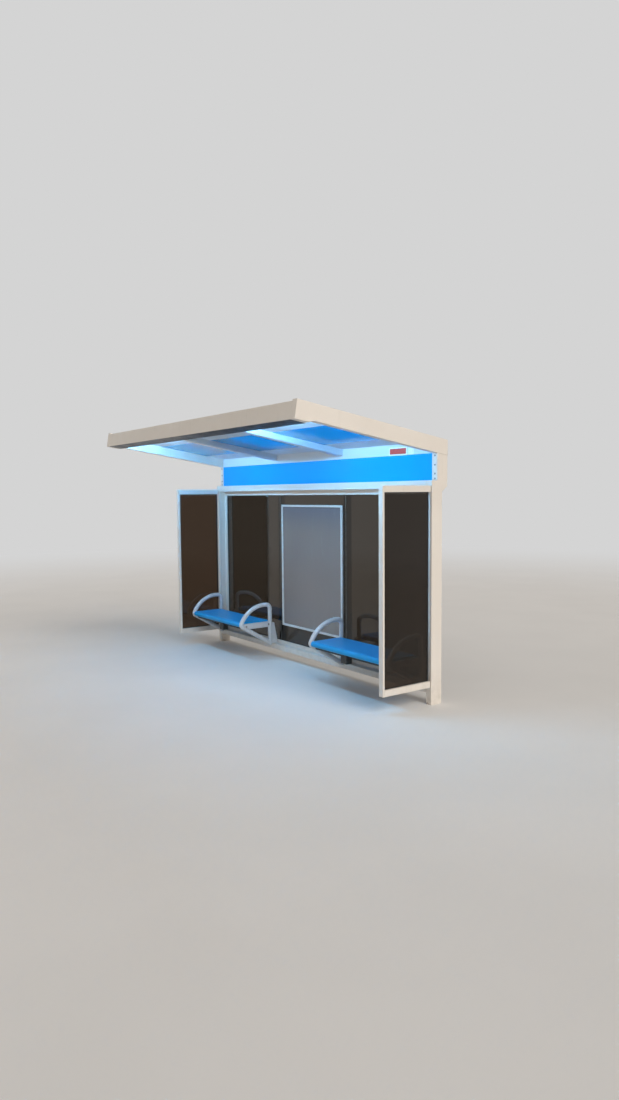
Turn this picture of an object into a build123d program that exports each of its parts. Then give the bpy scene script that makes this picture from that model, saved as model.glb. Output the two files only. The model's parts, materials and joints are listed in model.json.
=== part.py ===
# Roadside bus shelter with a cantilevered roof, glazed back and sides, and two benches
# Millimetres. Origin: centre of the left post's foot. +X along the shelter, +Y to the rear, +Z up
import os
from math import cos, radians, sin, tan

from build123d import *

os.makedirs("parts", exist_ok=True)

# Clearances
SEAT_GAP = 0.3      # between a piece and the face it is fixed against

# Posts, set back above the header
POST_W = 66.0
POST_D = 132.0
SPAN = 3890.0       # post centre to post centre
POST_FRONT = -POST_D / 2
POST_REAR = POST_D / 2
SET_BACK = 66.0
UPPER_FRONT = POST_FRONT + SET_BACK
UPPER_REAR = POST_REAR + SET_BACK
KINK_LOW = 1942.0
KINK_HIGH = 1994.0
LEDGE_Z = 2046.0
EDGE_R = 5.0
IN_L = POST_W / 2
IN_R = SPAN - POST_W / 2
INNER = IN_R - IN_L
MID_X = SPAN / 2

# Roof, measured along its slope from the rear top edge and square to it
SLOPE = 9.0
ROOF_REAR_Z = 2412.0
ROOF_L = 1675.0
ARM_DEEP = 140.0
NOSE_DEEP = 160.0
NOSE_L = 142.0
NOSE_RAMP = 42.0
BEAM_DROP = 10.0    # front beam's top below the arms' top
BEAM_BACK = 2.0     # front beam's face behind the arms' ends
BEAM_W = 155.0
COVER_TOP = 12.0
COVER_UNDER = 30.0
DECK_UNDER = 40.0
BEAM_U0 = ROOF_L - BEAM_BACK - BEAM_W
BEAM_U1 = ROOF_L - BEAM_BACK
REAR_STRIP_U = 370.0
FRONT_STRIP_L = 500.0
FRONT_STRIP_U = BEAM_U0 - FRONT_STRIP_L
RAFTER_W = 90.0
RAFTER_R = 10.0
RAFTER_REAR = 67.0
RAFTER_FRONT = 50.0
RAFTER_SHIFT = 55.0     # both rafters stand left of the mullions' lines

# Lamps behind the front beam, one in each outer bay
LAMP_L = 900.0
LAMP_TOP = 62.0
LAMP_H = 34.0
LAMP_W = 48.0
LAMP_SIDE = 13.6    # height of its upright rear side
LAMP_BOTTOM = 28.8  # depth of its level underside

# Header, sign and bottom beam
HEADER_Z = 1975.0
SIGN_D = 44.0
BASE_Z = 105.0
BASE_TOP = 168.0

# Back wall frame, glass, mullions and poster case
BACK_FRONT = 12.0
BACK_D = 44.0
STILE_W = 47.0
BACK_LOW_H = 33.0
BACK_TOP_H = 52.0
GLASS_T = 8.0
GLASS_Y = 28.0      # front face of the back panes
GROOVE = 12.0
BITE = 10.0         # how far glass enters its groove
PANE_GAP = 4.0
MULLION_W = 88.0
MULLION_D = 38.0
POSTER_W = 1146.0
POSTER_SIDE = 5.0   # poster case to mullion, seen from the front
POSTER_Z0 = 391.0
POSTER_Z1 = 1811.0
POSTER_BAR = 24.0
POSTER_D = 19.0
POSTER_SHEET = 6.0
POSTER_CHAMFER = 4.0
BAY_X = POSTER_W / 2 + POSTER_SIDE + MULLION_W / 2      # mullions, from the middle
LEFT_RAFTER_X = MID_X - BAY_X - RAFTER_SHIFT
RIGHT_RAFTER_X = MID_X + BAY_X - RAFTER_SHIFT

# Side panels
SIDE_FRONT = -646.0
SIDE_W = 55.0
SIDE_STILE = 19.0
SIDE_LOW = 166.0
SIDE_RISE = 25.0    # panel tops above the header's underside
SIDE_TOP = HEADER_Z + SIDE_RISE
SIDE_RAIL = 58.0
SIDE_REAR_GAP = 14.0        # rail ends to the post's face
SIDE_REAR = POST_FRONT - SIDE_REAR_GAP
SIDE_GLASS_GAP = 20.0       # free edge of the pane to the post's face
SIDE_GLASS_REAR = POST_FRONT - SIDE_GLASS_GAP
STILE_R = 3.0
LUG_H = 30.0
LUG_T = 10.0
LUG_ROOT = 20.0     # lug's length inside its rail

# Bench ends
TUBE_R = 24.0       # to the flats of the tube's outline
TUBE_SIDES = 16
END_INSET = 48.0    # outer end's centre from the post's inner face
BENCH_L = 1174.0    # between the centres of its two ends
ARM_Y = POST_FRONT - TUBE_R - SEAT_GAP
ARM_TOP = 633.0
ARM_LOW = 150.0
CORNER_R = 54.0
REST_FLAT = 24.7
REST_R = 347.0
REST_TURN = 64.4
NOSE_R = 30.0
NOSE_TURN = 84.9
BAR_TOP = 430.0
BAR_H = 62.0
BAR_W = 34.0
BAR_FRONT = -455.0
GUSSET_TOP = 413.0
GUSSET_W = 32.0
GUSSET_HEAD = 26.0
GUSSET_TOE = 74.0

# Seats and their carriers
SEAT_TOP = 448.0
SEAT_H = 58.0
SEAT_FRONT = -502.0
SEAT_REAR = -98.0
SEAT_T = 4.0
SEAT_LIP = 74.0     # width of each rolled edge
SEAT_ROLL_R = 28.0
CARRIER_Y = -430.0
CARRIER_R = 16.0
SADDLE_W = 90.0
SADDLE_D = 70.0
SADDLE_LOW = 300.0
SADDLE_SHIFT = 80.0     # from mid length towards the inner end


def roof_point(along, deep):
    y = UPPER_REAR - along * cos(radians(SLOPE)) - deep * sin(radians(SLOPE))
    z = ROOF_REAR_Z + along * sin(radians(SLOPE)) - deep * cos(radians(SLOPE))
    return (y, z)


def roof_z(y, deep):
    return ROOF_REAR_Z + (UPPER_REAR - y) * tan(radians(SLOPE)) - deep / cos(radians(SLOPE))


ROOF = Plane(
    origin=(0, UPPER_REAR, ROOF_REAR_Z),
    x_dir=(1, 0, 0),
    z_dir=(0, sin(radians(SLOPE)), cos(radians(SLOPE))),
)

POST_TOP = roof_z(UPPER_REAR, ARM_DEEP)
POST_OUTLINE = [
    (POST_FRONT, 0),
    (POST_REAR, 0),
    (POST_REAR, KINK_LOW),
    (UPPER_REAR, KINK_HIGH),
    (UPPER_REAR, POST_TOP),
    (UPPER_FRONT, roof_z(UPPER_FRONT, ARM_DEEP)),
    (UPPER_FRONT, LEDGE_Z),
    (POST_FRONT, LEDGE_Z),
]

ARM_OUTLINE = [
    (UPPER_REAR, ROOF_REAR_Z),
    roof_point(ROOF_L, 0),
    roof_point(ROOF_L, NOSE_DEEP),
    roof_point(ROOF_L - NOSE_L, NOSE_DEEP),
    roof_point(ROOF_L - NOSE_L - NOSE_RAMP, ARM_DEEP),
    (UPPER_REAR, POST_TOP),
]

# Posts
with BuildPart() as left_post:
    with BuildSketch(Plane.YZ.offset(-POST_W / 2)):
        with BuildLine():
            Polyline(*POST_OUTLINE, close=True)
        make_face()
    extrude(amount=POST_W)
    fillet(left_post.edges().filter_by(Plane.YZ).filter_by_position(Axis.Z, EDGE_R, POST_TOP), radius=EDGE_R)
left_post.part.label = "left_post"
export_step(left_post.part, "parts/left_post.step")

with BuildPart() as right_post:
    with BuildSketch(Plane.YZ.offset(SPAN - POST_W / 2)):
        with BuildLine():
            Polyline(*POST_OUTLINE, close=True)
        make_face()
    extrude(amount=POST_W)
    fillet(right_post.edges().filter_by(Plane.YZ).filter_by_position(Axis.Z, EDGE_R, POST_TOP), radius=EDGE_R)
right_post.part.label = "right_post"
export_step(right_post.part, "parts/right_post.step")

# Roof arms, deeper at the nose
with BuildPart() as left_arm:
    with BuildSketch(Plane.YZ.offset(-POST_W / 2)):
        with BuildLine():
            Polyline(*ARM_OUTLINE, close=True)
        make_face()
    extrude(amount=POST_W)
    fillet(left_arm.edges().filter_by(Plane.YZ).filter_by_position(Axis.Y, -ROOF_L, 0), radius=EDGE_R)
left_arm.part.label = "left_arm"
export_step(left_arm.part, "parts/left_arm.step")

with BuildPart() as right_arm:
    with BuildSketch(Plane.YZ.offset(SPAN - POST_W / 2)):
        with BuildLine():
            Polyline(*ARM_OUTLINE, close=True)
        make_face()
    extrude(amount=POST_W)
    fillet(right_arm.edges().filter_by(Plane.YZ).filter_by_position(Axis.Y, -ROOF_L, 0), radius=EDGE_R)
right_arm.part.label = "right_arm"
export_step(right_arm.part, "parts/right_arm.step")

# Front beam between the arms
with BuildPart() as front_beam:
    with BuildSketch(Plane.YZ.offset(IN_L)):
        with BuildLine():
            Polyline(
                roof_point(BEAM_U1, BEAM_DROP),
                roof_point(BEAM_U1, NOSE_DEEP),
                roof_point(BEAM_U0, NOSE_DEEP),
                roof_point(BEAM_U0, BEAM_DROP),
                close=True,
            )
        make_face()
    extrude(amount=INNER)
    fillet(front_beam.edges().filter_by(Axis.X), radius=EDGE_R)
front_beam.part.label = "front_beam"
export_step(front_beam.part, "parts/front_beam.step")

# Rear beam over the sign
with BuildPart() as rear_beam:
    with BuildSketch(Plane.YZ.offset(IN_L)):
        with BuildLine():
            Polyline(
                (UPPER_FRONT, roof_z(UPPER_FRONT, ARM_DEEP)),
                (UPPER_REAR, roof_z(UPPER_REAR, ARM_DEEP)),
                (UPPER_REAR, roof_z(UPPER_REAR, DECK_UNDER)),
                (UPPER_FRONT, roof_z(UPPER_FRONT, DECK_UNDER)),
                close=True,
            )
        make_face()
    extrude(amount=INNER)
rear_beam.part.label = "rear_beam"
export_step(rear_beam.part, "parts/rear_beam.step")

# Rafters, tapering a little towards the front beam
RAFTER_OUTLINE = [
    (UPPER_FRONT, roof_z(UPPER_FRONT, DECK_UNDER)),
    (UPPER_FRONT, roof_z(UPPER_FRONT, DECK_UNDER + RAFTER_REAR)),
    roof_point(BEAM_U0, DECK_UNDER + RAFTER_FRONT),
    roof_point(BEAM_U0, DECK_UNDER),
]

with BuildPart() as left_rafter:
    with BuildSketch(Plane.YZ.offset(LEFT_RAFTER_X - RAFTER_W / 2)):
        with BuildLine():
            Polyline(*RAFTER_OUTLINE, close=True)
        make_face()
    extrude(amount=RAFTER_W)
    fillet(left_rafter.edges().filter_by(Plane.YZ).group_by(Axis.Z)[1], radius=RAFTER_R)
left_rafter.part.label = "left_rafter"
export_step(left_rafter.part, "parts/left_rafter.step")

with BuildPart() as right_rafter:
    with BuildSketch(Plane.YZ.offset(RIGHT_RAFTER_X - RAFTER_W / 2)):
        with BuildLine():
            Polyline(*RAFTER_OUTLINE, close=True)
        make_face()
    extrude(amount=RAFTER_W)
    fillet(right_rafter.edges().filter_by(Plane.YZ).group_by(Axis.Z)[1], radius=RAFTER_R)
right_rafter.part.label = "right_rafter"
export_step(right_rafter.part, "parts/right_rafter.step")

# Roof sheets
with BuildPart() as roof_cover:
    with BuildSketch(ROOF.offset(-COVER_UNDER)):
        with Locations((MID_X, -BEAM_U0 / 2)):
            Rectangle(INNER, BEAM_U0)
    extrude(amount=COVER_UNDER - COVER_TOP)
roof_cover.part.label = "roof_cover"
export_step(roof_cover.part, "parts/roof_cover.step")

with BuildPart() as rear_strip:
    with BuildSketch(ROOF.offset(-DECK_UNDER)):
        with Locations((MID_X, -REAR_STRIP_U / 2)):
            Rectangle(INNER, REAR_STRIP_U)
    extrude(amount=DECK_UNDER - COVER_UNDER)
rear_strip.part.label = "rear_strip"
export_step(rear_strip.part, "parts/rear_strip.step")

with BuildPart() as front_strip:
    with BuildSketch(ROOF.offset(-DECK_UNDER)):
        with Locations((MID_X, -(FRONT_STRIP_U + BEAM_U0) / 2)):
            Rectangle(INNER, BEAM_U0 - FRONT_STRIP_U)
    extrude(amount=DECK_UNDER - COVER_UNDER)
front_strip.part.label = "front_strip"
export_step(front_strip.part, "parts/front_strip.step")

with BuildPart() as deck_panel:
    with BuildSketch(ROOF.offset(-DECK_UNDER)):
        with Locations((MID_X, -(REAR_STRIP_U + FRONT_STRIP_U) / 2)):
            Rectangle(INNER, FRONT_STRIP_U - REAR_STRIP_U)
    extrude(amount=DECK_UNDER - COVER_UNDER)
deck_panel.part.label = "deck_panel"
export_step(deck_panel.part, "parts/deck_panel.step")

# Lamps on the front beam's rear face, each in the middle of its bay
LAMP_OUTLINE = [
    roof_point(BEAM_U0, LAMP_TOP),
    roof_point(BEAM_U0, LAMP_TOP + LAMP_H),
    roof_point(BEAM_U0 - LAMP_BOTTOM, LAMP_TOP + LAMP_H),
    roof_point(BEAM_U0 - LAMP_W, LAMP_TOP + LAMP_SIDE),
    roof_point(BEAM_U0 - LAMP_W, LAMP_TOP),
]
LEFT_LAMP_X = (IN_L + LEFT_RAFTER_X - RAFTER_W / 2) / 2
RIGHT_LAMP_X = (RIGHT_RAFTER_X + RAFTER_W / 2 + IN_R) / 2

with BuildPart() as left_lamp:
    with BuildSketch(Plane.YZ.offset(LEFT_LAMP_X - LAMP_L / 2)):
        with BuildLine():
            Polyline(*LAMP_OUTLINE, close=True)
        make_face()
    extrude(amount=LAMP_L)
left_lamp.part.label = "left_lamp"
export_step(left_lamp.part, "parts/left_lamp.step")

with BuildPart() as right_lamp:
    with BuildSketch(Plane.YZ.offset(RIGHT_LAMP_X - LAMP_L / 2)):
        with BuildLine():
            Polyline(*LAMP_OUTLINE, close=True)
        make_face()
    extrude(amount=LAMP_L)
right_lamp.part.label = "right_lamp"
export_step(right_lamp.part, "parts/right_lamp.step")

# Header rail, sign and bottom beam
with BuildPart() as header_rail:
    with BuildSketch(Plane.YZ.offset(IN_L)):
        with Locations((0, (HEADER_Z + LEDGE_Z) / 2)):
            Rectangle(POST_D, LEDGE_Z - HEADER_Z)
    extrude(amount=INNER)
    fillet(header_rail.edges().filter_by(Axis.X), radius=EDGE_R)
header_rail.part.label = "header_rail"
export_step(header_rail.part, "parts/header_rail.step")

with BuildPart() as sign_panel:
    with BuildSketch(Plane.YZ.offset(IN_L)):
        with BuildLine():
            Polyline(
                (UPPER_FRONT, LEDGE_Z),
                (UPPER_FRONT + SIGN_D, LEDGE_Z),
                (UPPER_FRONT + SIGN_D, roof_z(UPPER_FRONT + SIGN_D, ARM_DEEP)),
                (UPPER_FRONT, roof_z(UPPER_FRONT, ARM_DEEP)),
                close=True,
            )
        make_face()
    extrude(amount=INNER)
sign_panel.part.label = "sign_panel"
export_step(sign_panel.part, "parts/sign_panel.step")

with BuildPart() as bottom_beam:
    with BuildSketch(Plane.YZ.offset(IN_L)):
        with Locations((0, (BASE_Z + BASE_TOP) / 2)):
            Rectangle(POST_D, BASE_TOP - BASE_Z)
    extrude(amount=INNER)
    fillet(bottom_beam.edges().filter_by(Axis.X), radius=EDGE_R)
bottom_beam.part.label = "bottom_beam"
export_step(bottom_beam.part, "parts/bottom_beam.step")

# Back wall frame, grooved for the panes
BACK_MID = BACK_FRONT + BACK_D / 2
GLASS_MID = GLASS_Y + GLASS_T / 2
GROOVE_W = GLASS_T + 2 * SEAT_GAP

with BuildPart() as back_low_rail:
    with BuildSketch(Plane.YZ.offset(IN_L)):
        with Locations((BACK_MID, BASE_TOP + BACK_LOW_H / 2)):
            Rectangle(BACK_D, BACK_LOW_H)
        with Locations((GLASS_MID, BASE_TOP + BACK_LOW_H - GROOVE / 2)):
            Rectangle(GROOVE_W, GROOVE, mode=Mode.SUBTRACT)
    extrude(amount=INNER)
back_low_rail.part.label = "back_low_rail"
export_step(back_low_rail.part, "parts/back_low_rail.step")

with BuildPart() as back_top_rail:
    with BuildSketch(Plane.YZ.offset(IN_L)):
        with Locations((BACK_MID, HEADER_Z - BACK_TOP_H / 2)):
            Rectangle(BACK_D, BACK_TOP_H)
        with Locations((GLASS_MID, HEADER_Z - BACK_TOP_H + GROOVE / 2)):
            Rectangle(GROOVE_W, GROOVE, mode=Mode.SUBTRACT)
    extrude(amount=INNER)
back_top_rail.part.label = "back_top_rail"
export_step(back_top_rail.part, "parts/back_top_rail.step")

BACK_LOW = BASE_TOP + BACK_LOW_H
BACK_HIGH = HEADER_Z - BACK_TOP_H

with BuildPart() as back_left_stile:
    with BuildSketch(Plane.XY.offset(BACK_LOW)):
        with Locations((IN_L + STILE_W / 2, BACK_MID)):
            Rectangle(STILE_W, BACK_D)
        with Locations((IN_L + STILE_W - GROOVE / 2, GLASS_MID)):
            Rectangle(GROOVE, GROOVE_W, mode=Mode.SUBTRACT)
    extrude(amount=BACK_HIGH - BACK_LOW)
back_left_stile.part.label = "back_left_stile"
export_step(back_left_stile.part, "parts/back_left_stile.step")

with BuildPart() as back_right_stile:
    with BuildSketch(Plane.XY.offset(BACK_LOW)):
        with Locations((IN_R - STILE_W / 2, BACK_MID)):
            Rectangle(STILE_W, BACK_D)
        with Locations((IN_R - STILE_W + GROOVE / 2, GLASS_MID)):
            Rectangle(GROOVE, GROOVE_W, mode=Mode.SUBTRACT)
    extrude(amount=BACK_HIGH - BACK_LOW)
back_right_stile.part.label = "back_right_stile"
export_step(back_right_stile.part, "parts/back_right_stile.step")

# Mullions behind the panes
with BuildPart() as left_mullion:
    with BuildSketch(Plane.XY.offset(BACK_LOW)):
        with Locations((MID_X - BAY_X, GLASS_Y + GLASS_T + SEAT_GAP + MULLION_D / 2)):
            Rectangle(MULLION_W, MULLION_D)
    extrude(amount=BACK_HIGH - BACK_LOW)
    fillet(left_mullion.edges().filter_by(Axis.Z).group_by(Axis.Y)[-1], radius=EDGE_R)
left_mullion.part.label = "left_mullion"
export_step(left_mullion.part, "parts/left_mullion.step")

with BuildPart() as right_mullion:
    with BuildSketch(Plane.XY.offset(BACK_LOW)):
        with Locations((MID_X + BAY_X, GLASS_Y + GLASS_T + SEAT_GAP + MULLION_D / 2)):
            Rectangle(MULLION_W, MULLION_D)
    extrude(amount=BACK_HIGH - BACK_LOW)
    fillet(right_mullion.edges().filter_by(Axis.Z).group_by(Axis.Y)[-1], radius=EDGE_R)
right_mullion.part.label = "right_mullion"
export_step(right_mullion.part, "parts/right_mullion.step")

# Panes, meeting on the mullions
PANE_Z0 = BACK_LOW - BITE
PANE_Z1 = BACK_HIGH + BITE
SEAM_L = MID_X - BAY_X
SEAM_R = MID_X + BAY_X
PANE_X0 = IN_L + STILE_W - BITE
PANE_X1 = IN_R - STILE_W + BITE

with BuildPart() as left_pane:
    with BuildSketch(Plane.XY.offset(PANE_Z0)):
        with Locations(((PANE_X0 + SEAM_L - PANE_GAP / 2) / 2, GLASS_MID)):
            Rectangle(SEAM_L - PANE_GAP / 2 - PANE_X0, GLASS_T)
    extrude(amount=PANE_Z1 - PANE_Z0)
left_pane.part.label = "left_pane"
export_step(left_pane.part, "parts/left_pane.step")

with BuildPart() as middle_pane:
    with BuildSketch(Plane.XY.offset(PANE_Z0)):
        with Locations((MID_X, GLASS_MID)):
            Rectangle(2 * BAY_X - PANE_GAP, GLASS_T)
    extrude(amount=PANE_Z1 - PANE_Z0)
middle_pane.part.label = "middle_pane"
export_step(middle_pane.part, "parts/middle_pane.step")

with BuildPart() as right_pane:
    with BuildSketch(Plane.XY.offset(PANE_Z0)):
        with Locations(((PANE_X1 + SEAM_R + PANE_GAP / 2) / 2, GLASS_MID)):
            Rectangle(PANE_X1 - SEAM_R - PANE_GAP / 2, GLASS_T)
    extrude(amount=PANE_Z1 - PANE_Z0)
right_pane.part.label = "right_pane"
export_step(right_pane.part, "parts/right_pane.step")

# Poster case on the middle pane
POSTER_BACK = GLASS_Y - SEAT_GAP
POSTER_MID_Z = (POSTER_Z0 + POSTER_Z1) / 2
POSTER_H = POSTER_Z1 - POSTER_Z0

with BuildPart() as poster_frame:
    with BuildSketch(Plane.XZ.offset(-POSTER_BACK)):
        with Locations((MID_X, POSTER_MID_Z)):
            Rectangle(POSTER_W, POSTER_H)
            Rectangle(POSTER_W - 2 * POSTER_BAR, POSTER_H - 2 * POSTER_BAR, mode=Mode.SUBTRACT)
    extrude(amount=POSTER_D)
    chamfer(poster_frame.faces().sort_by(Axis.Y)[0].edges(), length=POSTER_CHAMFER)
poster_frame.part.label = "poster_frame"
export_step(poster_frame.part, "parts/poster_frame.step")

with BuildPart() as poster_sheet:
    with BuildSketch(Plane.XZ.offset(-POSTER_BACK)):
        with Locations((MID_X, POSTER_MID_Z)):
            Rectangle(
                POSTER_W - 2 * POSTER_BAR - 2 * SEAT_GAP,
                POSTER_H - 2 * POSTER_BAR - 2 * SEAT_GAP,
            )
    extrude(amount=POSTER_SHEET)
poster_sheet.part.label = "poster_sheet"
export_step(poster_sheet.part, "parts/poster_sheet.step")

# Side panels: front stile, two rails tied to the post by lugs, and a pane with a free rear edge
SIDE_MID_L = -POST_W / 2 + SIDE_W / 2
SIDE_MID_R = SPAN + POST_W / 2 - SIDE_W / 2
RAIL_Y0 = SIDE_FRONT + SIDE_STILE
RAIL_L = SIDE_REAR - RAIL_Y0
LUG_Y0 = SIDE_REAR - LUG_ROOT
LUG_L = POST_FRONT - LUG_Y0

with BuildPart() as left_side_stile:
    with BuildSketch(Plane.XY.offset(SIDE_LOW)):
        with Locations((SIDE_MID_L, SIDE_FRONT + SIDE_STILE / 2)):
            Rectangle(SIDE_W, SIDE_STILE)
    extrude(amount=SIDE_TOP - SIDE_LOW)
    fillet(left_side_stile.edges().filter_by(Axis.Z).group_by(Axis.Y)[0], radius=STILE_R)
    with BuildSketch(Plane.XY.offset(SIDE_LOW + SIDE_RAIL - GROOVE)):
        with Locations((SIDE_MID_L, RAIL_Y0 - GROOVE / 2)):
            Rectangle(GROOVE_W, GROOVE)
    extrude(amount=SIDE_TOP - SIDE_LOW - 2 * SIDE_RAIL + 2 * GROOVE, mode=Mode.SUBTRACT)
left_side_stile.part.label = "left_side_stile"
export_step(left_side_stile.part, "parts/left_side_stile.step")

with BuildPart() as right_side_stile:
    with BuildSketch(Plane.XY.offset(SIDE_LOW)):
        with Locations((SIDE_MID_R, SIDE_FRONT + SIDE_STILE / 2)):
            Rectangle(SIDE_W, SIDE_STILE)
    extrude(amount=SIDE_TOP - SIDE_LOW)
    fillet(right_side_stile.edges().filter_by(Axis.Z).group_by(Axis.Y)[0], radius=STILE_R)
    with BuildSketch(Plane.XY.offset(SIDE_LOW + SIDE_RAIL - GROOVE)):
        with Locations((SIDE_MID_R, RAIL_Y0 - GROOVE / 2)):
            Rectangle(GROOVE_W, GROOVE)
    extrude(amount=SIDE_TOP - SIDE_LOW - 2 * SIDE_RAIL + 2 * GROOVE, mode=Mode.SUBTRACT)
right_side_stile.part.label = "right_side_stile"
export_step(right_side_stile.part, "parts/right_side_stile.step")

with BuildPart() as left_side_low_rail:
    with BuildSketch(Plane.XZ.offset(-RAIL_Y0)):
        with Locations((SIDE_MID_L, SIDE_LOW + SIDE_RAIL / 2)):
            Rectangle(SIDE_W, SIDE_RAIL)
        with Locations((SIDE_MID_L, SIDE_LOW + SIDE_RAIL - GROOVE / 2)):
            Rectangle(GROOVE_W, GROOVE, mode=Mode.SUBTRACT)
    extrude(amount=-RAIL_L)
    with BuildSketch(Plane.XZ.offset(-LUG_Y0)):
        with Locations((SIDE_MID_L, SIDE_LOW + SIDE_RAIL / 2 - GROOVE / 2)):
            Rectangle(LUG_T, LUG_H)
    extrude(amount=-LUG_L)
left_side_low_rail.part.label = "left_side_low_rail"
export_step(left_side_low_rail.part, "parts/left_side_low_rail.step")

with BuildPart() as right_side_low_rail:
    with BuildSketch(Plane.XZ.offset(-RAIL_Y0)):
        with Locations((SIDE_MID_R, SIDE_LOW + SIDE_RAIL / 2)):
            Rectangle(SIDE_W, SIDE_RAIL)
        with Locations((SIDE_MID_R, SIDE_LOW + SIDE_RAIL - GROOVE / 2)):
            Rectangle(GROOVE_W, GROOVE, mode=Mode.SUBTRACT)
    extrude(amount=-RAIL_L)
    with BuildSketch(Plane.XZ.offset(-LUG_Y0)):
        with Locations((SIDE_MID_R, SIDE_LOW + SIDE_RAIL / 2 - GROOVE / 2)):
            Rectangle(LUG_T, LUG_H)
    extrude(amount=-LUG_L)
right_side_low_rail.part.label = "right_side_low_rail"
export_step(right_side_low_rail.part, "parts/right_side_low_rail.step")

with BuildPart() as left_side_top_rail:
    with BuildSketch(Plane.XZ.offset(-RAIL_Y0)):
        with Locations((SIDE_MID_L, SIDE_TOP - SIDE_RAIL / 2)):
            Rectangle(SIDE_W, SIDE_RAIL)
        with Locations((SIDE_MID_L, SIDE_TOP - SIDE_RAIL + GROOVE / 2)):
            Rectangle(GROOVE_W, GROOVE, mode=Mode.SUBTRACT)
    extrude(amount=-RAIL_L)
    with BuildSketch(Plane.XZ.offset(-LUG_Y0)):
        with Locations((SIDE_MID_L, SIDE_TOP - SIDE_RAIL / 2 + GROOVE / 2)):
            Rectangle(LUG_T, LUG_H)
    extrude(amount=-LUG_L)
left_side_top_rail.part.label = "left_side_top_rail"
export_step(left_side_top_rail.part, "parts/left_side_top_rail.step")

with BuildPart() as right_side_top_rail:
    with BuildSketch(Plane.XZ.offset(-RAIL_Y0)):
        with Locations((SIDE_MID_R, SIDE_TOP - SIDE_RAIL / 2)):
            Rectangle(SIDE_W, SIDE_RAIL)
        with Locations((SIDE_MID_R, SIDE_TOP - SIDE_RAIL + GROOVE / 2)):
            Rectangle(GROOVE_W, GROOVE, mode=Mode.SUBTRACT)
    extrude(amount=-RAIL_L)
    with BuildSketch(Plane.XZ.offset(-LUG_Y0)):
        with Locations((SIDE_MID_R, SIDE_TOP - SIDE_RAIL / 2 + GROOVE / 2)):
            Rectangle(LUG_T, LUG_H)
    extrude(amount=-LUG_L)
right_side_top_rail.part.label = "right_side_top_rail"
export_step(right_side_top_rail.part, "parts/right_side_top_rail.step")

SIDE_PANE_Y0 = RAIL_Y0 - BITE
SIDE_PANE_Z0 = SIDE_LOW + SIDE_RAIL - BITE
SIDE_PANE_H = SIDE_TOP - SIDE_LOW - 2 * SIDE_RAIL + 2 * BITE

with BuildPart() as left_side_pane:
    with BuildSketch(Plane.XY.offset(SIDE_PANE_Z0)):
        with Locations((SIDE_MID_L, (SIDE_PANE_Y0 + SIDE_GLASS_REAR) / 2)):
            Rectangle(GLASS_T, SIDE_GLASS_REAR - SIDE_PANE_Y0)
    extrude(amount=SIDE_PANE_H)
left_side_pane.part.label = "left_side_pane"
export_step(left_side_pane.part, "parts/left_side_pane.step")

with BuildPart() as right_side_pane:
    with BuildSketch(Plane.XY.offset(SIDE_PANE_Z0)):
        with Locations((SIDE_MID_R, (SIDE_PANE_Y0 + SIDE_GLASS_REAR) / 2)):
            Rectangle(GLASS_T, SIDE_GLASS_REAR - SIDE_PANE_Y0)
    extrude(amount=SIDE_PANE_H)
right_side_pane.part.label = "right_side_pane"
export_step(right_side_pane.part, "parts/right_side_pane.step")

# Bench ends: a bent tube over the arm rest to the nose, a brace back to the foot, a bar and a gusset
OUTER_END_X = IN_L + END_INSET
INNER_END_X = OUTER_END_X + BENCH_L
REST_Y = ARM_Y - CORNER_R - REST_FLAT
REST_DY = cos(radians(REST_TURN))
REST_DZ = sin(radians(REST_TURN))

with BuildPart() as left_bench_inner_end:
    with BuildLine(Plane.YZ.offset(INNER_END_X)):
        Line((ARM_Y, ARM_LOW), (ARM_Y, ARM_TOP - CORNER_R))
        JernArc((ARM_Y, ARM_TOP - CORNER_R), (0, 1), CORNER_R, 90)
        Line((REST_Y + REST_FLAT, ARM_TOP), (REST_Y, ARM_TOP))
        JernArc((REST_Y, ARM_TOP), (-1, 0), REST_R, REST_TURN)
        nose_bend = JernArc(
            (REST_Y - REST_R * REST_DZ, ARM_TOP - REST_R + REST_R * REST_DY),
            (-REST_DY, -REST_DZ),
            NOSE_R,
            NOSE_TURN,
        )
    with BuildSketch(Plane.XY.offset(ARM_LOW)):
        with Locations((INNER_END_X, ARM_Y)):
            RegularPolygon(TUBE_R, TUBE_SIDES, major_radius=False, rotation=180 / TUBE_SIDES)
    sweep()
    with BuildSketch(Plane(origin=nose_bend @ 1, x_dir=(1, 0, 0), z_dir=nose_bend % 1)):
        RegularPolygon(TUBE_R, TUBE_SIDES, major_radius=False, rotation=180 / TUBE_SIDES)
    extrude(amount=(ARM_Y - (nose_bend @ 1).Y) / (nose_bend % 1).Y)
    with BuildSketch(Plane.XZ.offset(-ARM_Y)):
        with Locations((INNER_END_X, BAR_TOP - BAR_H / 2)):
            Rectangle(BAR_W, BAR_H)
    extrude(amount=ARM_Y - BAR_FRONT)
    with BuildSketch(Plane.YZ.offset(INNER_END_X - GUSSET_W / 2)):
        with BuildLine():
            Polyline(
                (ARM_Y, BASE_TOP),
                (POST_FRONT + GUSSET_TOE, BASE_TOP),
                (POST_FRONT + GUSSET_HEAD, GUSSET_TOP),
                (ARM_Y, GUSSET_TOP),
                close=True,
            )
        make_face()
    extrude(amount=GUSSET_W)
left_bench_inner_end.part.label = "left_bench_inner_end"
export_step(left_bench_inner_end.part, "parts/left_bench_inner_end.step")

with BuildPart() as left_bench_outer_end:
    with Locations((-BENCH_L, 0, 0)):
        add(left_bench_inner_end.part)
left_bench_outer_end.part.label = "left_bench_outer_end"
export_step(left_bench_outer_end.part, "parts/left_bench_outer_end.step")

with BuildPart() as right_bench_inner_end:
    with Locations((SPAN - 2 * INNER_END_X, 0, 0)):
        add(left_bench_inner_end.part)
right_bench_inner_end.part.label = "right_bench_inner_end"
export_step(right_bench_inner_end.part, "parts/right_bench_inner_end.step")

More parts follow.
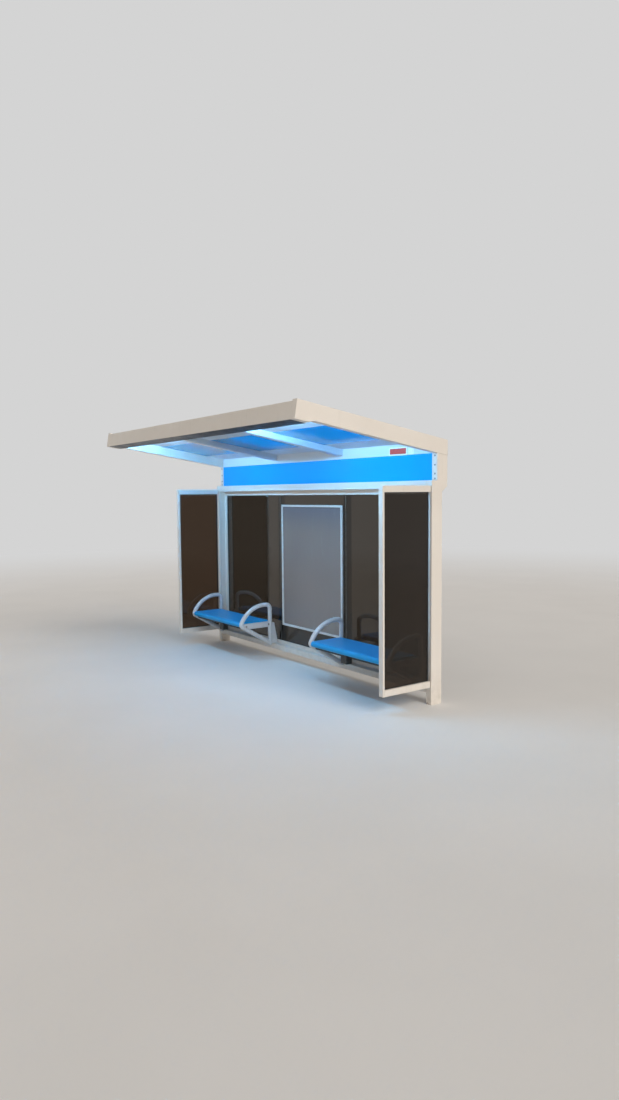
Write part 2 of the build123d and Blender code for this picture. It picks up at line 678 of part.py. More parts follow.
with BuildPart() as right_bench_outer_end:
    with Locations((SPAN - OUTER_END_X - INNER_END_X, 0, 0)):
        add(left_bench_inner_end.part)
right_bench_outer_end.part.label = "right_bench_outer_end"
export_step(right_bench_outer_end.part, "parts/right_bench_outer_end.step")

# Seats: a pressed pan with rolled front and rear edges and closed ends
SEAT_X0 = OUTER_END_X + TUBE_R + SEAT_GAP
SEAT_L = BENCH_L - 2 * TUBE_R - 2 * SEAT_GAP
SEAT_SHIFT = SPAN - OUTER_END_X - INNER_END_X
SEAT_MID_Y = (SEAT_FRONT + SEAT_REAR) / 2
SEAT_DEEP = SEAT_REAR - SEAT_FRONT

with BuildPart() as left_seat:
    with BuildSketch(Plane.YZ.offset(SEAT_X0)):
        with Locations((SEAT_MID_Y, SEAT_TOP - SEAT_H / 2)):
            RectangleRounded(SEAT_DEEP, SEAT_H, SEAT_ROLL_R)
    extrude(amount=SEAT_L)
    with BuildSketch(Plane.YZ.offset(SEAT_X0 + SEAT_T)):
        with Locations((SEAT_MID_Y, SEAT_TOP - SEAT_H / 2)):
            RectangleRounded(SEAT_DEEP - 2 * SEAT_T, SEAT_H - 2 * SEAT_T, SEAT_ROLL_R - SEAT_T)
        with Locations((SEAT_MID_Y, SEAT_TOP - SEAT_H)):
            Rectangle(SEAT_DEEP - 2 * SEAT_LIP, SEAT_H)
    extrude(amount=SEAT_L - 2 * SEAT_T, mode=Mode.SUBTRACT)
left_seat.part.label = "left_seat"
export_step(left_seat.part, "parts/left_seat.step")

with BuildPart() as right_seat:
    with Locations((SEAT_SHIFT, 0, 0)):
        add(left_seat.part)
right_seat.part.label = "right_seat"
export_step(right_seat.part, "parts/right_seat.step")

# Carriers: a tube under each seat between its two ends, with a saddle near mid length
CARRIER_TOP = SEAT_TOP - SEAT_H - SEAT_GAP
SADDLE_X = SEAT_X0 + SEAT_L / 2 + SADDLE_SHIFT

with BuildPart() as left_carrier:
    with BuildSketch(Plane.YZ.offset(SEAT_X0)):
        with Locations((CARRIER_Y, CARRIER_TOP - CARRIER_R)):
            Circle(CARRIER_R)
    extrude(amount=SEAT_L)
    with BuildSketch(Plane.XY.offset(SADDLE_LOW)):
        with Locations((SADDLE_X, CARRIER_Y)):
            RectangleRounded(SADDLE_W, SADDLE_D, EDGE_R)
    extrude(amount=CARRIER_TOP - SADDLE_LOW)
left_carrier.part.label = "left_carrier"
export_step(left_carrier.part, "parts/left_carrier.step")

with BuildPart() as right_carrier:
    with BuildSketch(Plane.YZ.offset(SPAN - SEAT_X0 - SEAT_L)):
        with Locations((CARRIER_Y, CARRIER_TOP - CARRIER_R)):
            Circle(CARRIER_R)
    extrude(amount=SEAT_L)
    with BuildSketch(Plane.XY.offset(SADDLE_LOW)):
        with Locations((SPAN - SADDLE_X, CARRIER_Y)):
            RectangleRounded(SADDLE_W, SADDLE_D, EDGE_R)
    extrude(amount=CARRIER_TOP - SADDLE_LOW)
right_carrier.part.label = "right_carrier"
export_step(right_carrier.part, "parts/right_carrier.step")
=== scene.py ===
import json
import math

import bmesh
import bpy
from mathutils import Matrix, Vector


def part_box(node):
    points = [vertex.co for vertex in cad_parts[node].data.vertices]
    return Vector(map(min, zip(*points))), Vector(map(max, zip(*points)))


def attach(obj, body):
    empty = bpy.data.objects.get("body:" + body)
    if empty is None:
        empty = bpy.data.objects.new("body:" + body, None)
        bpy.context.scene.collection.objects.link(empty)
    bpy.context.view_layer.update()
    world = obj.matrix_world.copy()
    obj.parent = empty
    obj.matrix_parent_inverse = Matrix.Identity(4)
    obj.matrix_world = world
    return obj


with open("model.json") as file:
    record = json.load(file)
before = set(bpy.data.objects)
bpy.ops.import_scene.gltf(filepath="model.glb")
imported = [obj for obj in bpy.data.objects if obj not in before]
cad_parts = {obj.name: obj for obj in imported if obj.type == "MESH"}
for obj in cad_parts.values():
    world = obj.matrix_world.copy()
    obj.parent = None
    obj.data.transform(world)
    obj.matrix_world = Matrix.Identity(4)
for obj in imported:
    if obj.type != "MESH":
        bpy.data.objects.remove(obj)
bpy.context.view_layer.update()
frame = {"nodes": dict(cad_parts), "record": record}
nodes = frame["nodes"]

# Measures shared with the solids, in metres
POST_W = 0.066
SPAN = 3.890            # post centre to post centre
MID_X = SPAN / 2
GLASS_Y = 0.028         # front face of the back panes
GLASS_T = 0.008
CASE_BAR = 0.024        # width of the poster case's bars

# Bolts and rivets, in metres
SIGN_BOLT_Z = (2.269, 2.185, 2.107, 2.062)
SIGN_BOLT_OUT = 0.005   # from the post's middle, away from the sign
SIGN_BOLT_R, SIGN_BOLT_H = 0.0062, 0.005
RIVET_Z = (2.231, 2.151, 2.080)
RIVET_Y = 0.016
RIVET_R, RIVET_H = 0.0060, 0.004
BENCH_BAR_HALF = 0.017  # half the width of a bench end's bar
BENCH_BOLT_Y = (-0.118, -0.425)
BENCH_BOLT_Z = 0.399
BENCH_BOLT_R, BENCH_BOLT_H = 0.0080, 0.005
HEAD_SIDES = 16
# A domed head on a washer: shares of its radius and of its height, from the foot up
HEAD_RINGS = ((1.45, 0.0), (1.45, 0.18), (1.0, 0.2), (0.98, 0.6), (0.72, 0.9), (0.34, 1.0))

# Gaskets, pane joints and mitre lines, in metres
BEAD = 0.006            # width of a gasket on the glass
LIP = 0.004             # how far it stands out from the glass
GASKET_BEVEL = 0.0008
EDGE_BEAD = 0.012       # the side panes' edge trim, on the glass
EDGE_LIP = 0.003
EDGE_COVER = 0.002      # its thickness over the pane's free edge
JOINT_HALF = 0.0035
JOINT_PROUD, JOINT_DEEP = 0.0008, 0.0002
MITRE_HALF = 0.0007
MITRE_PROUD, MITRE_DEEP = 0.0002, 0.0006
MITRE_MARGIN = 0.004    # from the case's corners

# Floor, backdrop and lamps
FLOOR_SIZE = 60.0
FADE_START, FADE_END = 6.0, 20.0    # metres from the shelter's middle
LAMP_STRENGTH = 540.0
LAMP_COLOUR = (0.21, 0.58, 1.0, 1.0)
AMBIENT = (0.32, 0.315, 0.315, 1.0)

# Camera, solved from the photograph
PHOTO_H = 1100.0
FOCAL_PX = 764.75
SENSOR = 36.0
CAMERA_AT = (8.8527, -4.9559, 1.9265)
YAW, PITCH, ROLL = 0.9482, 0.0723, -0.0081


def rgb(r, g, b):
    """An sRGB colour as the linear values that nodes take."""
    out = []
    for c in (r, g, b):
        c /= 255.0
        out.append(c / 12.92 if c <= 0.04045 else ((c + 0.055) / 1.055) ** 2.4)
    return (*out, 1.0)


BLACK = (0.0, 0.0, 0.0, 1.0)
WHITE = rgb(232, 224, 213)
WHITE_SHADE = rgb(224, 215, 203)
GRIME = rgb(150, 140, 126)
RUST = rgb(124, 84, 56)
BACKDROP = rgb(212, 212, 212)


# Materials
class Look:
    """A Principled material and short calls for its pattern nodes."""

    def __init__(self, name):
        self.mat = bpy.data.materials.new(name)
        self.mat.use_nodes = True
        self.tree = self.mat.node_tree
        self.shader = self.tree.nodes["Principled BSDF"]
        self.place = self.add("ShaderNodeTexCoord").outputs["Object"]

    def add(self, kind, **values):
        node = self.tree.nodes.new(kind)
        for key, value in values.items():
            setattr(node, key, value)
        return node

    def link(self, a, b):
        self.tree.links.new(a, b)

    def put(self, socket, value):
        if isinstance(value, bpy.types.NodeSocket):
            self.link(value, socket)
        else:
            socket.default_value = value

    def stretched(self, x, y, z):
        """The place, with each axis scaled."""
        node = self.add("ShaderNodeMapping")
        self.link(self.place, node.inputs["Vector"])
        node.inputs["Scale"].default_value = (x, y, z)
        return node.outputs["Vector"]

    def noise(self, scale, detail=3.0, rough=0.5, place=None):
        node = self.add("ShaderNodeTexNoise")
        self.link(place or self.place, node.inputs["Vector"])
        node.inputs["Scale"].default_value = scale
        node.inputs["Detail"].default_value = detail
        node.inputs["Roughness"].default_value = rough
        return node.outputs["Fac"]

    def spread(self, value, low, high, to_low=0.0, to_high=1.0):
        """A smooth step from to_low to to_high as the value goes from low to high."""
        node = self.add("ShaderNodeMapRange", interpolation_type="SMOOTHSTEP")
        self.put(node.inputs["Value"], value)
        node.inputs["From Min"].default_value = low
        node.inputs["From Max"].default_value = high
        node.inputs["To Min"].default_value = to_low
        node.inputs["To Max"].default_value = to_high
        return node.outputs["Result"]

    def math(self, op, a, b):
        node = self.add("ShaderNodeMath", operation=op)
        self.put(node.inputs[0], a)
        self.put(node.inputs[1], b)
        return node.outputs[0]

    def times(self, first, *others):
        for other in others:
            first = self.math("MULTIPLY", first, other)
        return first

    def mix(self, share, a, b):
        node = self.add("ShaderNodeMix", data_type="RGBA")
        self.put(node.inputs["Factor"], share)
        self.put(node.inputs["A"], a)
        self.put(node.inputs["B"], b)
        return node.outputs["Result"]

    def axis(self, which):
        """One coordinate of the place: 0 for x, 1 for y, 2 for z."""
        node = self.add("ShaderNodeSeparateXYZ")
        self.link(self.place, node.inputs[0])
        return node.outputs[which]

    def normal(self, which):
        """One coordinate of the surface's direction."""
        geometry = self.add("ShaderNodeNewGeometry")
        node = self.add("ShaderNodeSeparateXYZ")
        self.link(geometry.outputs["Normal"], node.inputs[0])
        return node.outputs[which]

    def rounded(self, radius):
        node = self.add("ShaderNodeBevel", samples=4)
        node.inputs["Radius"].default_value = radius
        return node.outputs["Normal"]

    def edges(self, radius):
        """1 along sharp edges, 0 on flats."""
        geometry = self.add("ShaderNodeNewGeometry")
        node = self.add("ShaderNodeVectorMath", operation="DOT_PRODUCT")
        self.link(self.rounded(radius), node.inputs[0])
        self.link(geometry.outputs["Normal"], node.inputs[1])
        return self.spread(node.outputs["Value"], 0.985, 0.90)

    def colour(self, value):
        self.put(self.shader.inputs["Base Color"], value)

    def rough(self, value):
        self.put(self.shader.inputs["Roughness"], value)

    def bump(self, height, strength, distance, under=None):
        node = self.add("ShaderNodeBump")
        node.inputs["Strength"].default_value = strength
        node.inputs["Distance"].default_value = distance
        self.link(height, node.inputs["Height"])
        if under is not None:
            self.link(under, node.inputs["Normal"])
        self.link(node.outputs["Normal"], self.shader.inputs["Normal"])

    def set(self, **values):
        for key, value in values.items():
            self.shader.inputs[key.replace("_", " ")].default_value = value


def background_rays(tree):
    """1 for what the camera, metal and glass see of the background, 0 for its light."""
    rays = tree.nodes.new("ShaderNodeLightPath").outputs
    seen = rays["Is Camera Ray"]
    for kind in ("Is Glossy Ray", "Is Transmission Ray"):
        node = tree.nodes.new("ShaderNodeMath")
        node.operation = "MAXIMUM"
        tree.links.new(seen, node.inputs[0])
        tree.links.new(rays[kind], node.inputs[1])
        seen = node.outputs[0]
    return seen


def painted(
    name, base, shade, dust, *, gloss, grain, streaks, edge,
    foot_dirt=0.0,              # splashes and rust near the ground
    soft=0.003,                 # radius of the edges' soft shine
    top_dust=0.22, spec=0.45,
    vary=0.17,                  # how far the roughness rises above gloss
    wear_r=0.0035, bare=rgb(118, 108, 98),
    rise=0.10,                  # strength of the paint's grain
    under=None, front=None,     # colours painted on faces that look down (painted shade) and to the road (painted lamp light)
):
    """Painted steel: patchy tone, runs of dirt, dust on top faces and worn edges."""
    look = Look(name)
    tone = look.spread(look.noise(scale=1.1, detail=3.0), 0.25, 0.80)
    colour = look.mix(tone, base, shade)

    down = look.stretched(34.0, 34.0, 1.3)
    runs = look.spread(look.noise(scale=1.0, detail=4.0, rough=0.6, place=down), 0.52, 0.80)
    patch = look.spread(look.noise(scale=3.1, detail=3.0), 0.42, 0.66)
    colour = look.mix(look.times(runs, patch, streaks), colour, dust)

    up = look.spread(look.normal(2), 0.55, 0.95)
    speck = look.spread(look.noise(scale=6.0, detail=6.0, rough=0.62), 0.32, 0.68)
    colour = look.mix(look.times(up, speck, top_dust), colour, dust)

    chips = look.spread(look.noise(scale=26.0, detail=4.0, rough=0.7), 0.50, 0.66)
    colour = look.mix(look.times(look.edges(wear_r), chips, edge), colour, bare)

    if foot_dirt:
        low = look.spread(look.axis(2), 0.42, 0.02)
        splash = look.spread(look.noise(scale=13.0, detail=5.0, rough=0.6), 0.34, 0.74)
        colour = look.mix(look.times(low, splash, foot_dirt), colour, dust)
        near = look.spread(look.axis(2), 0.05, 0.0)
        spots = look.noise(scale=34.0, detail=5.0, rough=0.7)
        rust = look.spread(look.math("ADD", spots, look.times(near, 0.10)), 0.62, 0.72)
        colour = look.mix(look.times(rust, near, 0.6), colour, RUST)
    # Painted shade: faces that look down take the darker under colour, as if unlit
    if under:
        colour = look.mix(look.spread(look.normal(2), -0.55, -0.9), colour, under)
    # Painted light: faces that look to the road take the front colour, the lamps' blue light
    if front:
        colour = look.mix(look.spread(look.normal(1), -0.45, -0.8), colour, front)
    look.colour(colour)

    if vary:
        sheen = look.noise(scale=9.0, detail=4.0)
        look.rough(look.spread(sheen, 0.30, 0.72, gloss, gloss + vary))
    else:
        look.rough(gloss)
    look.bump(look.noise(scale=grain, detail=3.0, rough=0.6), rise, 0.0006, look.rounded(soft))
    look.set(Specular_IOR_Level=spec)
    return look


frame_paint = painted(
    "frame_paint", WHITE, WHITE_SHADE, GRIME,
    gloss=0.32, grain=420.0, streaks=0.16, edge=0.5, foot_dirt=0.22, top_dust=0.14,
)
# The front beam's underside takes a dark blue-grey as painted shade
front_beam_shaded_under_paint = painted(
    "front_beam_paint_painted_shade_under", WHITE, WHITE_SHADE, GRIME,
    gloss=0.32, grain=420.0, streaks=0.16, edge=0.5, under=rgb(66, 72, 84),
)
# The rear beam's faces toward the road take a pale blue as painted lamp light
rear_beam_lamp_lit_paint = painted(
    "rear_beam_paint_painted_lamp_light", WHITE, WHITE_SHADE, GRIME,
    gloss=0.32, grain=420.0, streaks=0.16, edge=0.5, front=rgb(214, 225, 233),
)
# The rafters and strips under the roof are tinted blue-white as painted lamp light
inner_lamp_lit_paint = painted(
    "inner_lamp_lit_paint", rgb(212, 225, 234), rgb(203, 216, 226), GRIME,
    gloss=0.34, grain=420.0, streaks=0.10, edge=0.2,
)
bench_paint = painted(
    "bench_paint", rgb(218, 218, 218), rgb(209, 209, 209), GRIME,
    gloss=0.24, grain=300.0, streaks=0.12, edge=0.4, foot_dirt=0.18, soft=0.006, top_dust=0.12,
)
cover_paint = painted(
    "cover_grey", rgb(190, 190, 186), rgb(176, 176, 171), rgb(140, 134, 120),
    gloss=0.42, grain=160.0, streaks=0.45, edge=0.5, top_dust=0.34,
)
alloy = painted(
    "aluminium_frame", rgb(222, 220, 215), rgb(206, 204, 198), GRIME,
    gloss=0.24, grain=500.0, streaks=0.15, edge=0.35, foot_dirt=0.15, soft=0.002,
)
deck_paint = painted(
    "deck_blue", rgb(18, 156, 228), rgb(14, 148, 220), rgb(38, 128, 186),
    gloss=0.10, grain=420.0, streaks=0.08, edge=0.05, soft=0.002, top_dust=0.1,
    spec=0.65, vary=0.05, wear_r=0.002, bare=rgb(30, 90, 150), rise=0.01,
)
seat_paint = painted(
    "seat_blue", rgb(43, 163, 224), rgb(36, 153, 214), rgb(104, 166, 202),
    gloss=0.31, grain=60.0, streaks=0.14, edge=0.35, soft=0.0012, top_dust=0.10,
    spec=0.14, vary=0.0, wear_r=0.0014, bare=rgb(70, 140, 200), rise=0.008,
)
sign_film = painted(
    "sign_blue", rgb(3, 164, 232), rgb(3, 158, 226), rgb(40, 144, 198),
    gloss=0.30, grain=90.0, streaks=0.05, edge=0.05, soft=0.002, top_dust=0.1,
    spec=0.12, vary=0.06, wear_r=0.002, bare=rgb(40, 130, 190),
)


def smoked(name, tint, gleam):
    """Smoked glass with smears, dust that gathers near the lower edge and a slight waviness."""
    look = Look(name)
    film = look.spread(look.noise(scale=7.0, detail=5.0, rough=0.6), 0.44, 0.80)
    down = look.stretched(40.0, 40.0, 1.1)
    runs = look.spread(look.noise(scale=1.0, detail=4.0, rough=0.6, place=down), 0.50, 0.82)
    low = look.spread(look.axis(2), 1.0, 0.2)
    marks = look.math("ADD", look.times(film, 0.5), runs)
    dust = look.times(marks, look.math("ADD", low, 0.35), 0.06)
    look.colour(look.mix(dust, tint, rgb(104, 98, 88)))
    smears = look.noise(scale=5.0, detail=4.0, rough=0.6)
    look.rough(look.spread(smears, 0.35, 0.75, 0.02, 0.11))
    look.bump(look.noise(scale=2.2, detail=2.0), 0.05, 0.002)
    look.set(Transmission_Weight=1.0, IOR=1.5, Specular_IOR_Level=0.13, Specular_Tint=gleam)
    return look


back_glass = smoked("smoked_glass_back", rgb(58, 52, 45), (1.0, 0.95, 0.89, 1.0))
side_glass = smoked("smoked_glass_side", rgb(74, 60, 49), (1.0, 0.88, 0.77, 1.0))


def bare_sheet():
    """The poster case's sheet: hazy grey with upright scuffs, and towards the top a painted blue
    of the lamps' light and the blue deck's reflection.
    """
    look = Look("poster_sheet")
    haze = look.spread(look.noise(scale=0.9, detail=1.0, rough=0.4), 0.25, 0.75)
    tone = look.mix(haze, rgb(128, 114, 106), rgb(142, 128, 119))
    # Painted light: bluer towards the top, for the lamps' glow and the blue deck's reflection
    tone = look.mix(look.spread(look.axis(2), 1.45, 1.95, 0.0, 0.8), tone, rgb(76, 84, 98))
    upright = look.stretched(24.0, 24.0, 3.0)
    scuff = look.spread(look.noise(scale=1.0, detail=3.0, rough=0.5, place=upright), 0.56, 0.90)
    look.colour(look.mix(look.times(scuff, 0.14), tone, rgb(160, 156, 152)))
    look.rough(look.spread(look.noise(scale=2.2, detail=3.0), 0.3, 0.7, 0.20, 0.27))
    look.bump(look.noise(scale=1.6, detail=1.0), 0.05, 0.004)
    look.set(Specular_IOR_Level=0.5)
    return look


def mottled(name, first, second, *, patches, start, sheen, gloss, grain, rise, depth, detail=4.0):
    """Two tones in patches, a roughness that varies over the gloss range, and a fine grain."""
    look = Look(name)
    share = look.spread(look.noise(scale=patches, detail=detail), start, 0.7)
    look.colour(look.mix(share, first, second))
    look.rough(look.spread(look.noise(scale=sheen), 0.3, 0.7, *gloss))
    look.bump(look.noise(scale=grain), rise, depth)
    return look


rubber = mottled(
    "rubber", rgb(24, 24, 25), rgb(44, 43, 42), patches=40.0, start=0.4,
    sheen=60.0, gloss=(0.45, 0.7), grain=300.0, rise=0.2, depth=0.0004,
)
silicone = mottled(
    "grey_silicone", rgb(104, 99, 90), rgb(84, 80, 73), patches=30.0, start=0.4,
    sheen=60.0, gloss=(0.35, 0.55), grain=200.0, rise=0.15, depth=0.0003,
)
steel = mottled(
    "zinc_steel", rgb(150, 148, 144), rgb(112, 104, 96), patches=90.0, start=0.35,
    sheen=70.0, gloss=(0.28, 0.5), grain=400.0, rise=0.15, depth=0.0003,
)
steel.set(Metallic=0.85)
# Dark grey for the carriers; on the mullions it is painted shade, as they stand behind the smoked
# glass
dark = mottled(
    "dark_bracket_and_mullion_shade", rgb(44, 47, 46), rgb(62, 61, 57), patches=30.0, start=0.35,
    sheen=40.0, gloss=(0.45, 0.65), grain=260.0, rise=0.2, depth=0.0005,
)
red = mottled(
    "plain_label_red", rgb(210, 74, 62), rgb(194, 62, 54), patches=60.0, start=0.4,
    sheen=40.0, gloss=(0.30, 0.45), grain=150.0, rise=0.08, depth=0.0003,
)
pale = mottled(
    "plain_label_edge", rgb(246, 246, 244), rgb(236, 236, 232), patches=60.0, start=0.4,
    sheen=40.0, gloss=(0.30, 0.45), grain=150.0, rise=0.08, depth=0.0003,
)
lamp = mottled(
    "lamp", rgb(226, 243, 252), rgb(238, 248, 254), patches=14.0, start=0.3, detail=2.0,
    sheen=50.0, gloss=(0.35, 0.5), grain=200.0, rise=0.1, depth=0.0004,
)
# The lamps shine most to the rear; their lower faces and the ends near the posts are dimmer
lamp_share = lamp.times(
    lamp.spread(lamp.normal(2), -0.92, -0.33, 0.05, 1.0),
    lamp.spread(lamp.axis(0), 0.30, 0.62, 0.25, 1.0),
    lamp.spread(lamp.axis(0), 3.40, 3.76, 1.0, 0.4),
    lamp.spread(lamp.normal(2), 0.3, 0.8, 1.0, 0.8),
)
lamp.put(lamp.shader.inputs["Emission Color"], lamp.mix(lamp_share, BLACK, LAMP_COLOUR))
lamp.set(Emission_Strength=LAMP_STRENGTH)

SLOT_LOOKS = {
    "frame_paint": frame_paint,
    "aluminium_frame": alloy,
    "cover_grey": cover_paint,
    "deck_blue": deck_paint,
    "lamp": lamp,
    "poster_sheet": bare_sheet(),
    "seat_blue": seat_paint,
    "sign_blue": sign_film,
    "smoked_glass": back_glass,
}
# Nodes that look different from the rest of their slot: the first word found in the name wins
NODE_LOOKS = {
    "side_pane": side_glass,
    "front_beam": front_beam_shaded_under_paint,
    "rear_beam": rear_beam_lamp_lit_paint,
    "bench": bench_paint,
    "rafter": inner_lamp_lit_paint,
    "strip": inner_lamp_lit_paint,
    "carrier": dark,
    # the mullions' dark grey is painted shade
    "mullion": dark,
}
for part in frame["record"]["subparts"]:
    own = [look for word, look in NODE_LOOKS.items() if word in part["node"]]
    mesh = nodes[part["node"]].data
    mesh.materials.clear()
    mesh.materials.append((own or [SLOT_LOOKS[part["material_slot"]]])[0].mat)


# Pieces that only the scene has
def piece(name, build, look, bevel=0.0):
    """A mesh made by build(bm), riding on the root."""
    bm = bmesh.new()
    build(bm)
    bmesh.ops.recalc_face_normals(bm, faces=bm.faces)
    mesh = bpy.data.meshes.new(name)
    bm.to_mesh(mesh)
    bm.free()
    mesh.materials.append(look.mat)
    obj = bpy.data.objects.new(name, mesh)
    bpy.context.scene.collection.objects.link(obj)
    if bevel:
        mod = obj.modifiers.new("edges", "BEVEL")
        mod.width = bevel
        mod.segments = 2
        mod.limit_method = "ANGLE"
    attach(obj, "root")


def block(bm, low, high):
    """A box between two corners."""
    made = bmesh.ops.create_cube(bm, size=1.0)["verts"]
    size = [b - a for a, b in zip(low, high)]
    mid = [(a + b) / 2 for a, b in zip(low, high)]
    for v in made:
        v.co = Vector([m + c * s for m, c, s in zip(mid, v.co, size)])


def prism(bm, front, back):
    """A closed plate between two outlines with as many corners."""
    front = [bm.verts.new(c) for c in front]
    back = [bm.verts.new(c) for c in back]
    bm.faces.new(front)
    bm.faces.new(list(reversed(back)))
    for k in range(len(front)):
        n = (k + 1) % len(front)
        bm.faces.new((front[k], back[k], back[n], front[n]))


def head(bm, at, out, radius, height):
    """A domed bolt head on a thin washer, standing out along a direction."""
    turn = Vector((0, 0, 1)).rotation_difference(Vector(out)).to_matrix().to_4x4()
    base = Matrix.Translation(Vector(at)) @ turn
    rows = []
    for wide, high in HEAD_RINGS:
        row = []
        for k in range(HEAD_SIDES):
            a = 2 * math.pi * k / HEAD_SIDES
            x, y = radius * wide * math.cos(a), radius * wide * math.sin(a)
            row.append(bm.verts.new(base @ Vector((x, y, height * high))))
        rows.append(row)
    for lower, upper in zip(rows, rows[1:]):
        for k in range(HEAD_SIDES):
            n = (k + 1) % HEAD_SIDES
            bm.faces.new((lower[k], lower[n], upper[n], upper[k]))
    bm.faces.new(rows[-1])
    bm.faces.new(list(reversed(rows[0])))


def sign_bolts(bm):
    for centre, out in ((0.0, -1), (SPAN, 1)):
        for z in SIGN_BOLT_Z:
            at = (centre + SIGN_BOLT_OUT * out, 0.0, z)
            head(bm, at, (0, -1, 0), SIGN_BOLT_R, SIGN_BOLT_H)


def side_rivets(bm):
    for centre, out in ((0.0, -1), (SPAN, 1)):
        for z in RIVET_Z:
            head(bm, (centre + POST_W / 2 * out, RIVET_Y, z), (out, 0, 0), RIVET_R, RIVET_H)


def bench_bolts(bm):
    for end in ("left_bench_outer_end", "left_bench_inner_end",
                "right_bench_inner_end", "right_bench_outer_end"):
        low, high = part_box(end)
        middle = (low.x + high.x) / 2
        for out in (-1, 1):
            for y in BENCH_BOLT_Y:
                at = (middle + BENCH_BAR_HALF * out, y, BENCH_BOLT_Z)
                head(bm, at, (out, 0, 0), BENCH_BOLT_R, BENCH_BOLT_H)


# The opening of the back wall's frame
OPEN_X0, OPEN_X1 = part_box("back_left_stile")[1].x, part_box("back_right_stile")[0].x
OPEN_Z0, OPEN_Z1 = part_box("back_low_rail")[1].z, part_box("back_top_rail")[0].z


def back_gaskets(bm):
    """Four strips round the opening, on both faces of the glass."""
    x0, x1, z0, z1 = OPEN_X0, OPEN_X1, OPEN_Z0, OPEN_Z1
    for y0, y1 in ((GLASS_Y - LIP, GLASS_Y), (GLASS_Y + GLASS_T, GLASS_Y + GLASS_T + LIP)):
        block(bm, (x0, y0, z0), (x1, y1, z0 + BEAD))
        block(bm, (x0, y0, z1 - BEAD), (x1, y1, z1))
        block(bm, (x0, y0, z0 + BEAD), (x0 + BEAD, y1, z1 - BEAD))
        block(bm, (x1 - BEAD, y0, z0 + BEAD), (x1, y1, z1 - BEAD))


def pane_joints(bm):
    """A sealed joint where two panes meet, in front of each mullion."""
    for mullion in ("left_mullion", "right_mullion"):
        low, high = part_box(mullion)
        x = (low.x + high.x) / 2
        block(
            bm,
            (x - JOINT_HALF, GLASS_Y - JOINT_PROUD, OPEN_Z0 + BEAD),
            (x + JOINT_HALF, GLASS_Y + JOINT_DEEP, OPEN_Z1 - BEAD),
        )


def side_gaskets(bm):
    """Strips along the rails and the stile, and a trim round the pane's free rear edge."""
    for side in ("left", "right"):
        pane_lo, pane_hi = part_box(f"{side}_side_pane")
        z0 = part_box(f"{side}_side_low_rail")[1].z
        z1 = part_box(f"{side}_side_top_rail")[0].z
        y0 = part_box(f"{side}_side_stile")[1].y
        y1 = pane_hi.y
        low, high = z0 + BEAD, z1 - BEAD
        for x0, x1 in ((pane_lo.x - LIP, pane_lo.x), (pane_hi.x, pane_hi.x + LIP)):
            block(bm, (x0, y0, z0), (x1, y1, low))
            block(bm, (x0, y0, high), (x1, y1, z1))
            block(bm, (x0, y0, low), (x1, y0 + BEAD, high))
        for x0, x1 in ((pane_lo.x - EDGE_LIP, pane_lo.x), (pane_hi.x, pane_hi.x + EDGE_LIP)):
            block(bm, (x0, y1 - EDGE_BEAD, low), (x1, y1 + EDGE_COVER, high))
        block(bm, (pane_lo.x, y1, low), (pane_hi.x, y1 + EDGE_COVER, high))


def rounded_plate(bm, across, up, deep, radius):
    """An upright plate with four round corners, from the road side to the rear."""
    (x0, x1), (z0, z1) = across, up
    corners = (
        (x1 - radius, z1 - radius, 0),
        (x0 + radius, z1 - radius, 90),
        (x0 + radius, z0 + radius, 180),
        (x1 - radius, z0 + radius, 270),
    )
    points = []
    for x, z, start in corners:
        for step in range(5):
            a = math.radians(start + 22.5 * step)
            points.append((x + radius * math.cos(a), z + radius * math.sin(a)))
    prism(bm, *([(x, y, z) for x, z in points] for y in deep))


def mitre_lines(bm):
    """Fine dark joints across the poster case's four corners."""
    low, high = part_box("poster_frame")
    y = low.y - MITRE_PROUD
    deep = Vector((0, MITRE_DEEP, 0))
    near, far = MITRE_MARGIN, CASE_BAR - MITRE_MARGIN
    for x, sx in ((low.x, 1), (high.x, -1)):
        for z, sz in ((low.z, 1), (high.z, -1)):
            a = Vector((x + near * sx, y, z + near * sz))
            b = Vector((x + far * sx, y, z + far * sz))
            side = (b - a).normalized().cross(Vector((0, 1, 0))) * MITRE_HALF
            line = (a - side, a + side, b + side, b - side)
            prism(bm, line, [c + deep for c in line])


piece("sign_bolts", sign_bolts, steel)
piece("side_rivets", side_rivets, frame_paint)
piece("bench_bolts", bench_bolts, steel)
piece("back_gaskets", back_gaskets, rubber, bevel=GASKET_BEVEL)
piece("pane_joints", pane_joints, silicone)
piece("side_gaskets", side_gaskets, rubber, bevel=GASKET_BEVEL)
# Bare labels on the rear beam: name, look, span in x, z and y, and corner radius
for label, label_look, *shape in (
    ("plain_label_edge", pale, (3.276, 3.530), (2.290, 2.368), (-0.0008, 0.0002), 0.006),
    ("plain_label", red, (3.290, 3.516), (2.303, 2.356), (-0.0012, -0.0007), 0.004),
    ("plain_plate", pale, (3.546, 3.620), (2.292, 2.360), (-0.0010, 0.0002), 0.004),
):
    piece(label, lambda bm: rounded_plate(bm, *shape), label_look)
piece("mitre_lines", mitre_lines, rubber)

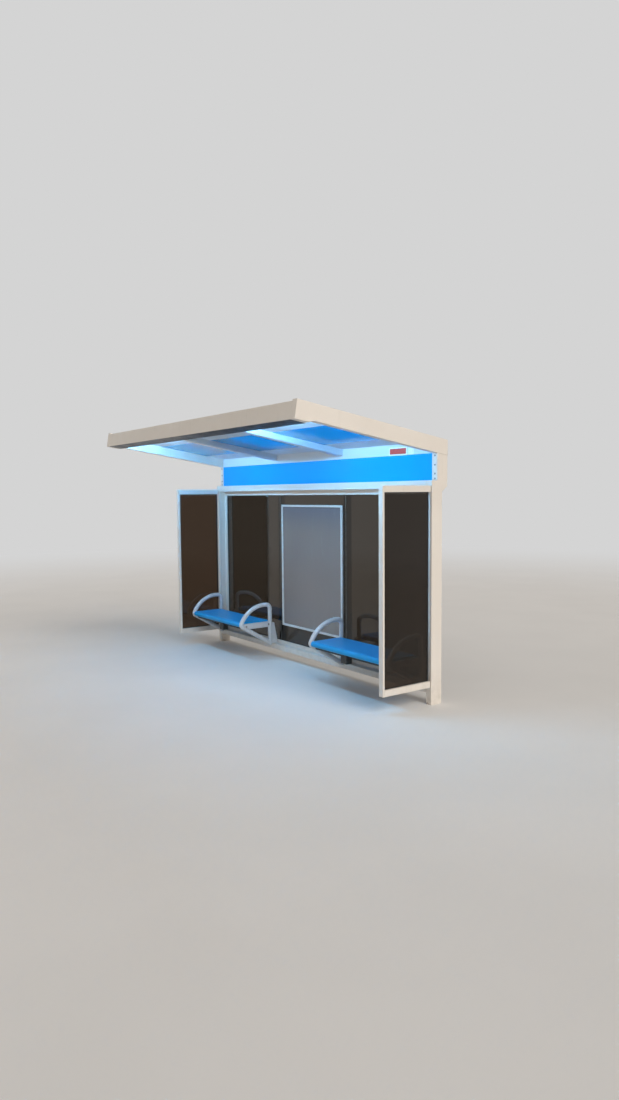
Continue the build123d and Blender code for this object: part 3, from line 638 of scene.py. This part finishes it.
# Floor: far from the shelter it fades into the backdrop, as the camera, metal and glass see it
floor_look = Look("floor")
floor_tone = rgb(230, 227, 222)
floor_shade = tuple(c * 0.97 for c in floor_tone[:3]) + (1.0,)
floor_patch = floor_look.spread(floor_look.noise(scale=0.8, detail=3.0), 0.3, 0.7)
floor_look.colour(floor_look.mix(floor_patch, floor_tone, floor_shade))
floor_look.rough(0.85)
reach = floor_look.add("ShaderNodeVectorMath", operation="LENGTH")
floor_look.link(floor_look.place, reach.inputs[0])
seen_far = floor_look.times(
    floor_look.spread(reach.outputs["Value"], FADE_START, FADE_END),
    background_rays(floor_look.tree),
)
plain_air = floor_look.add("ShaderNodeEmission")
plain_air.inputs["Color"].default_value = BACKDROP
fade = floor_look.add("ShaderNodeMixShader")
floor_look.link(seen_far, fade.inputs[0])
floor_look.link(floor_look.shader.outputs[0], fade.inputs[1])
floor_look.link(plain_air.outputs[0], fade.inputs[2])
floor_look.link(fade.outputs[0], floor_look.tree.nodes["Material Output"].inputs["Surface"])
bpy.ops.mesh.primitive_plane_add(size=FLOOR_SIZE, location=(MID_X, 0.0, 0.0))
floor = bpy.context.object
floor.name = "floor"
floor.data.materials.append(floor_look.mat)

# World: a soft even light, which shows as the backdrop's colour
world = bpy.data.worlds.new("studio")
bpy.context.scene.world = world
world.use_nodes = True
sky = world.node_tree
blend = sky.nodes.new("ShaderNodeMix")
blend.data_type = "RGBA"
sky.links.new(background_rays(sky), blend.inputs["Factor"])
blend.inputs["A"].default_value = AMBIENT
blend.inputs["B"].default_value = BACKDROP
sky.links.new(blend.outputs["Result"], sky.nodes["Background"].inputs["Color"])


def distant(name, toward, strength, spread, colour):
    """A far, large lamp: it lights evenly over the whole floor."""
    light = bpy.data.lights.new(name, "SUN")
    light.energy = strength
    light.angle = math.radians(spread)
    light.color = colour
    obj = bpy.data.objects.new(name, light)
    obj.rotation_mode = "QUATERNION"
    obj.rotation_quaternion = Vector(toward).to_track_quat("-Z", "Y")
    bpy.context.scene.collection.objects.link(obj)


distant("key", (-0.83, 0.05, -0.55), strength=1.95, spread=40.0, colour=(1.0, 0.955, 0.91))
distant("fill", (0.25, 0.80, -0.55), strength=0.15, spread=60.0, colour=(1.0, 0.97, 0.94))

# Camera
lens = bpy.data.cameras.new("camera")
lens.sensor_width = SENSOR
lens.lens = FOCAL_PX / PHOTO_H * SENSOR
lens.clip_end = 200.0
camera = bpy.data.objects.new("camera", lens)
ahead = Vector((-math.sin(YAW), math.cos(YAW), 0.0))
forward = ahead * math.cos(PITCH) - Vector((0.0, 0.0, math.sin(PITCH)))
level = Vector((math.cos(YAW), math.sin(YAW), 0.0))
above = level.cross(forward)
right = level * math.cos(ROLL) + above * math.sin(ROLL)
up = above * math.cos(ROLL) - level * math.sin(ROLL)
turn = Matrix((right, up, -forward)).transposed().to_4x4()
camera.matrix_world = Matrix.Translation(CAMERA_AT) @ turn
bpy.context.scene.collection.objects.link(camera)
bpy.context.scene.camera = camera

bpy.context.scene.view_settings.view_transform = "Standard"
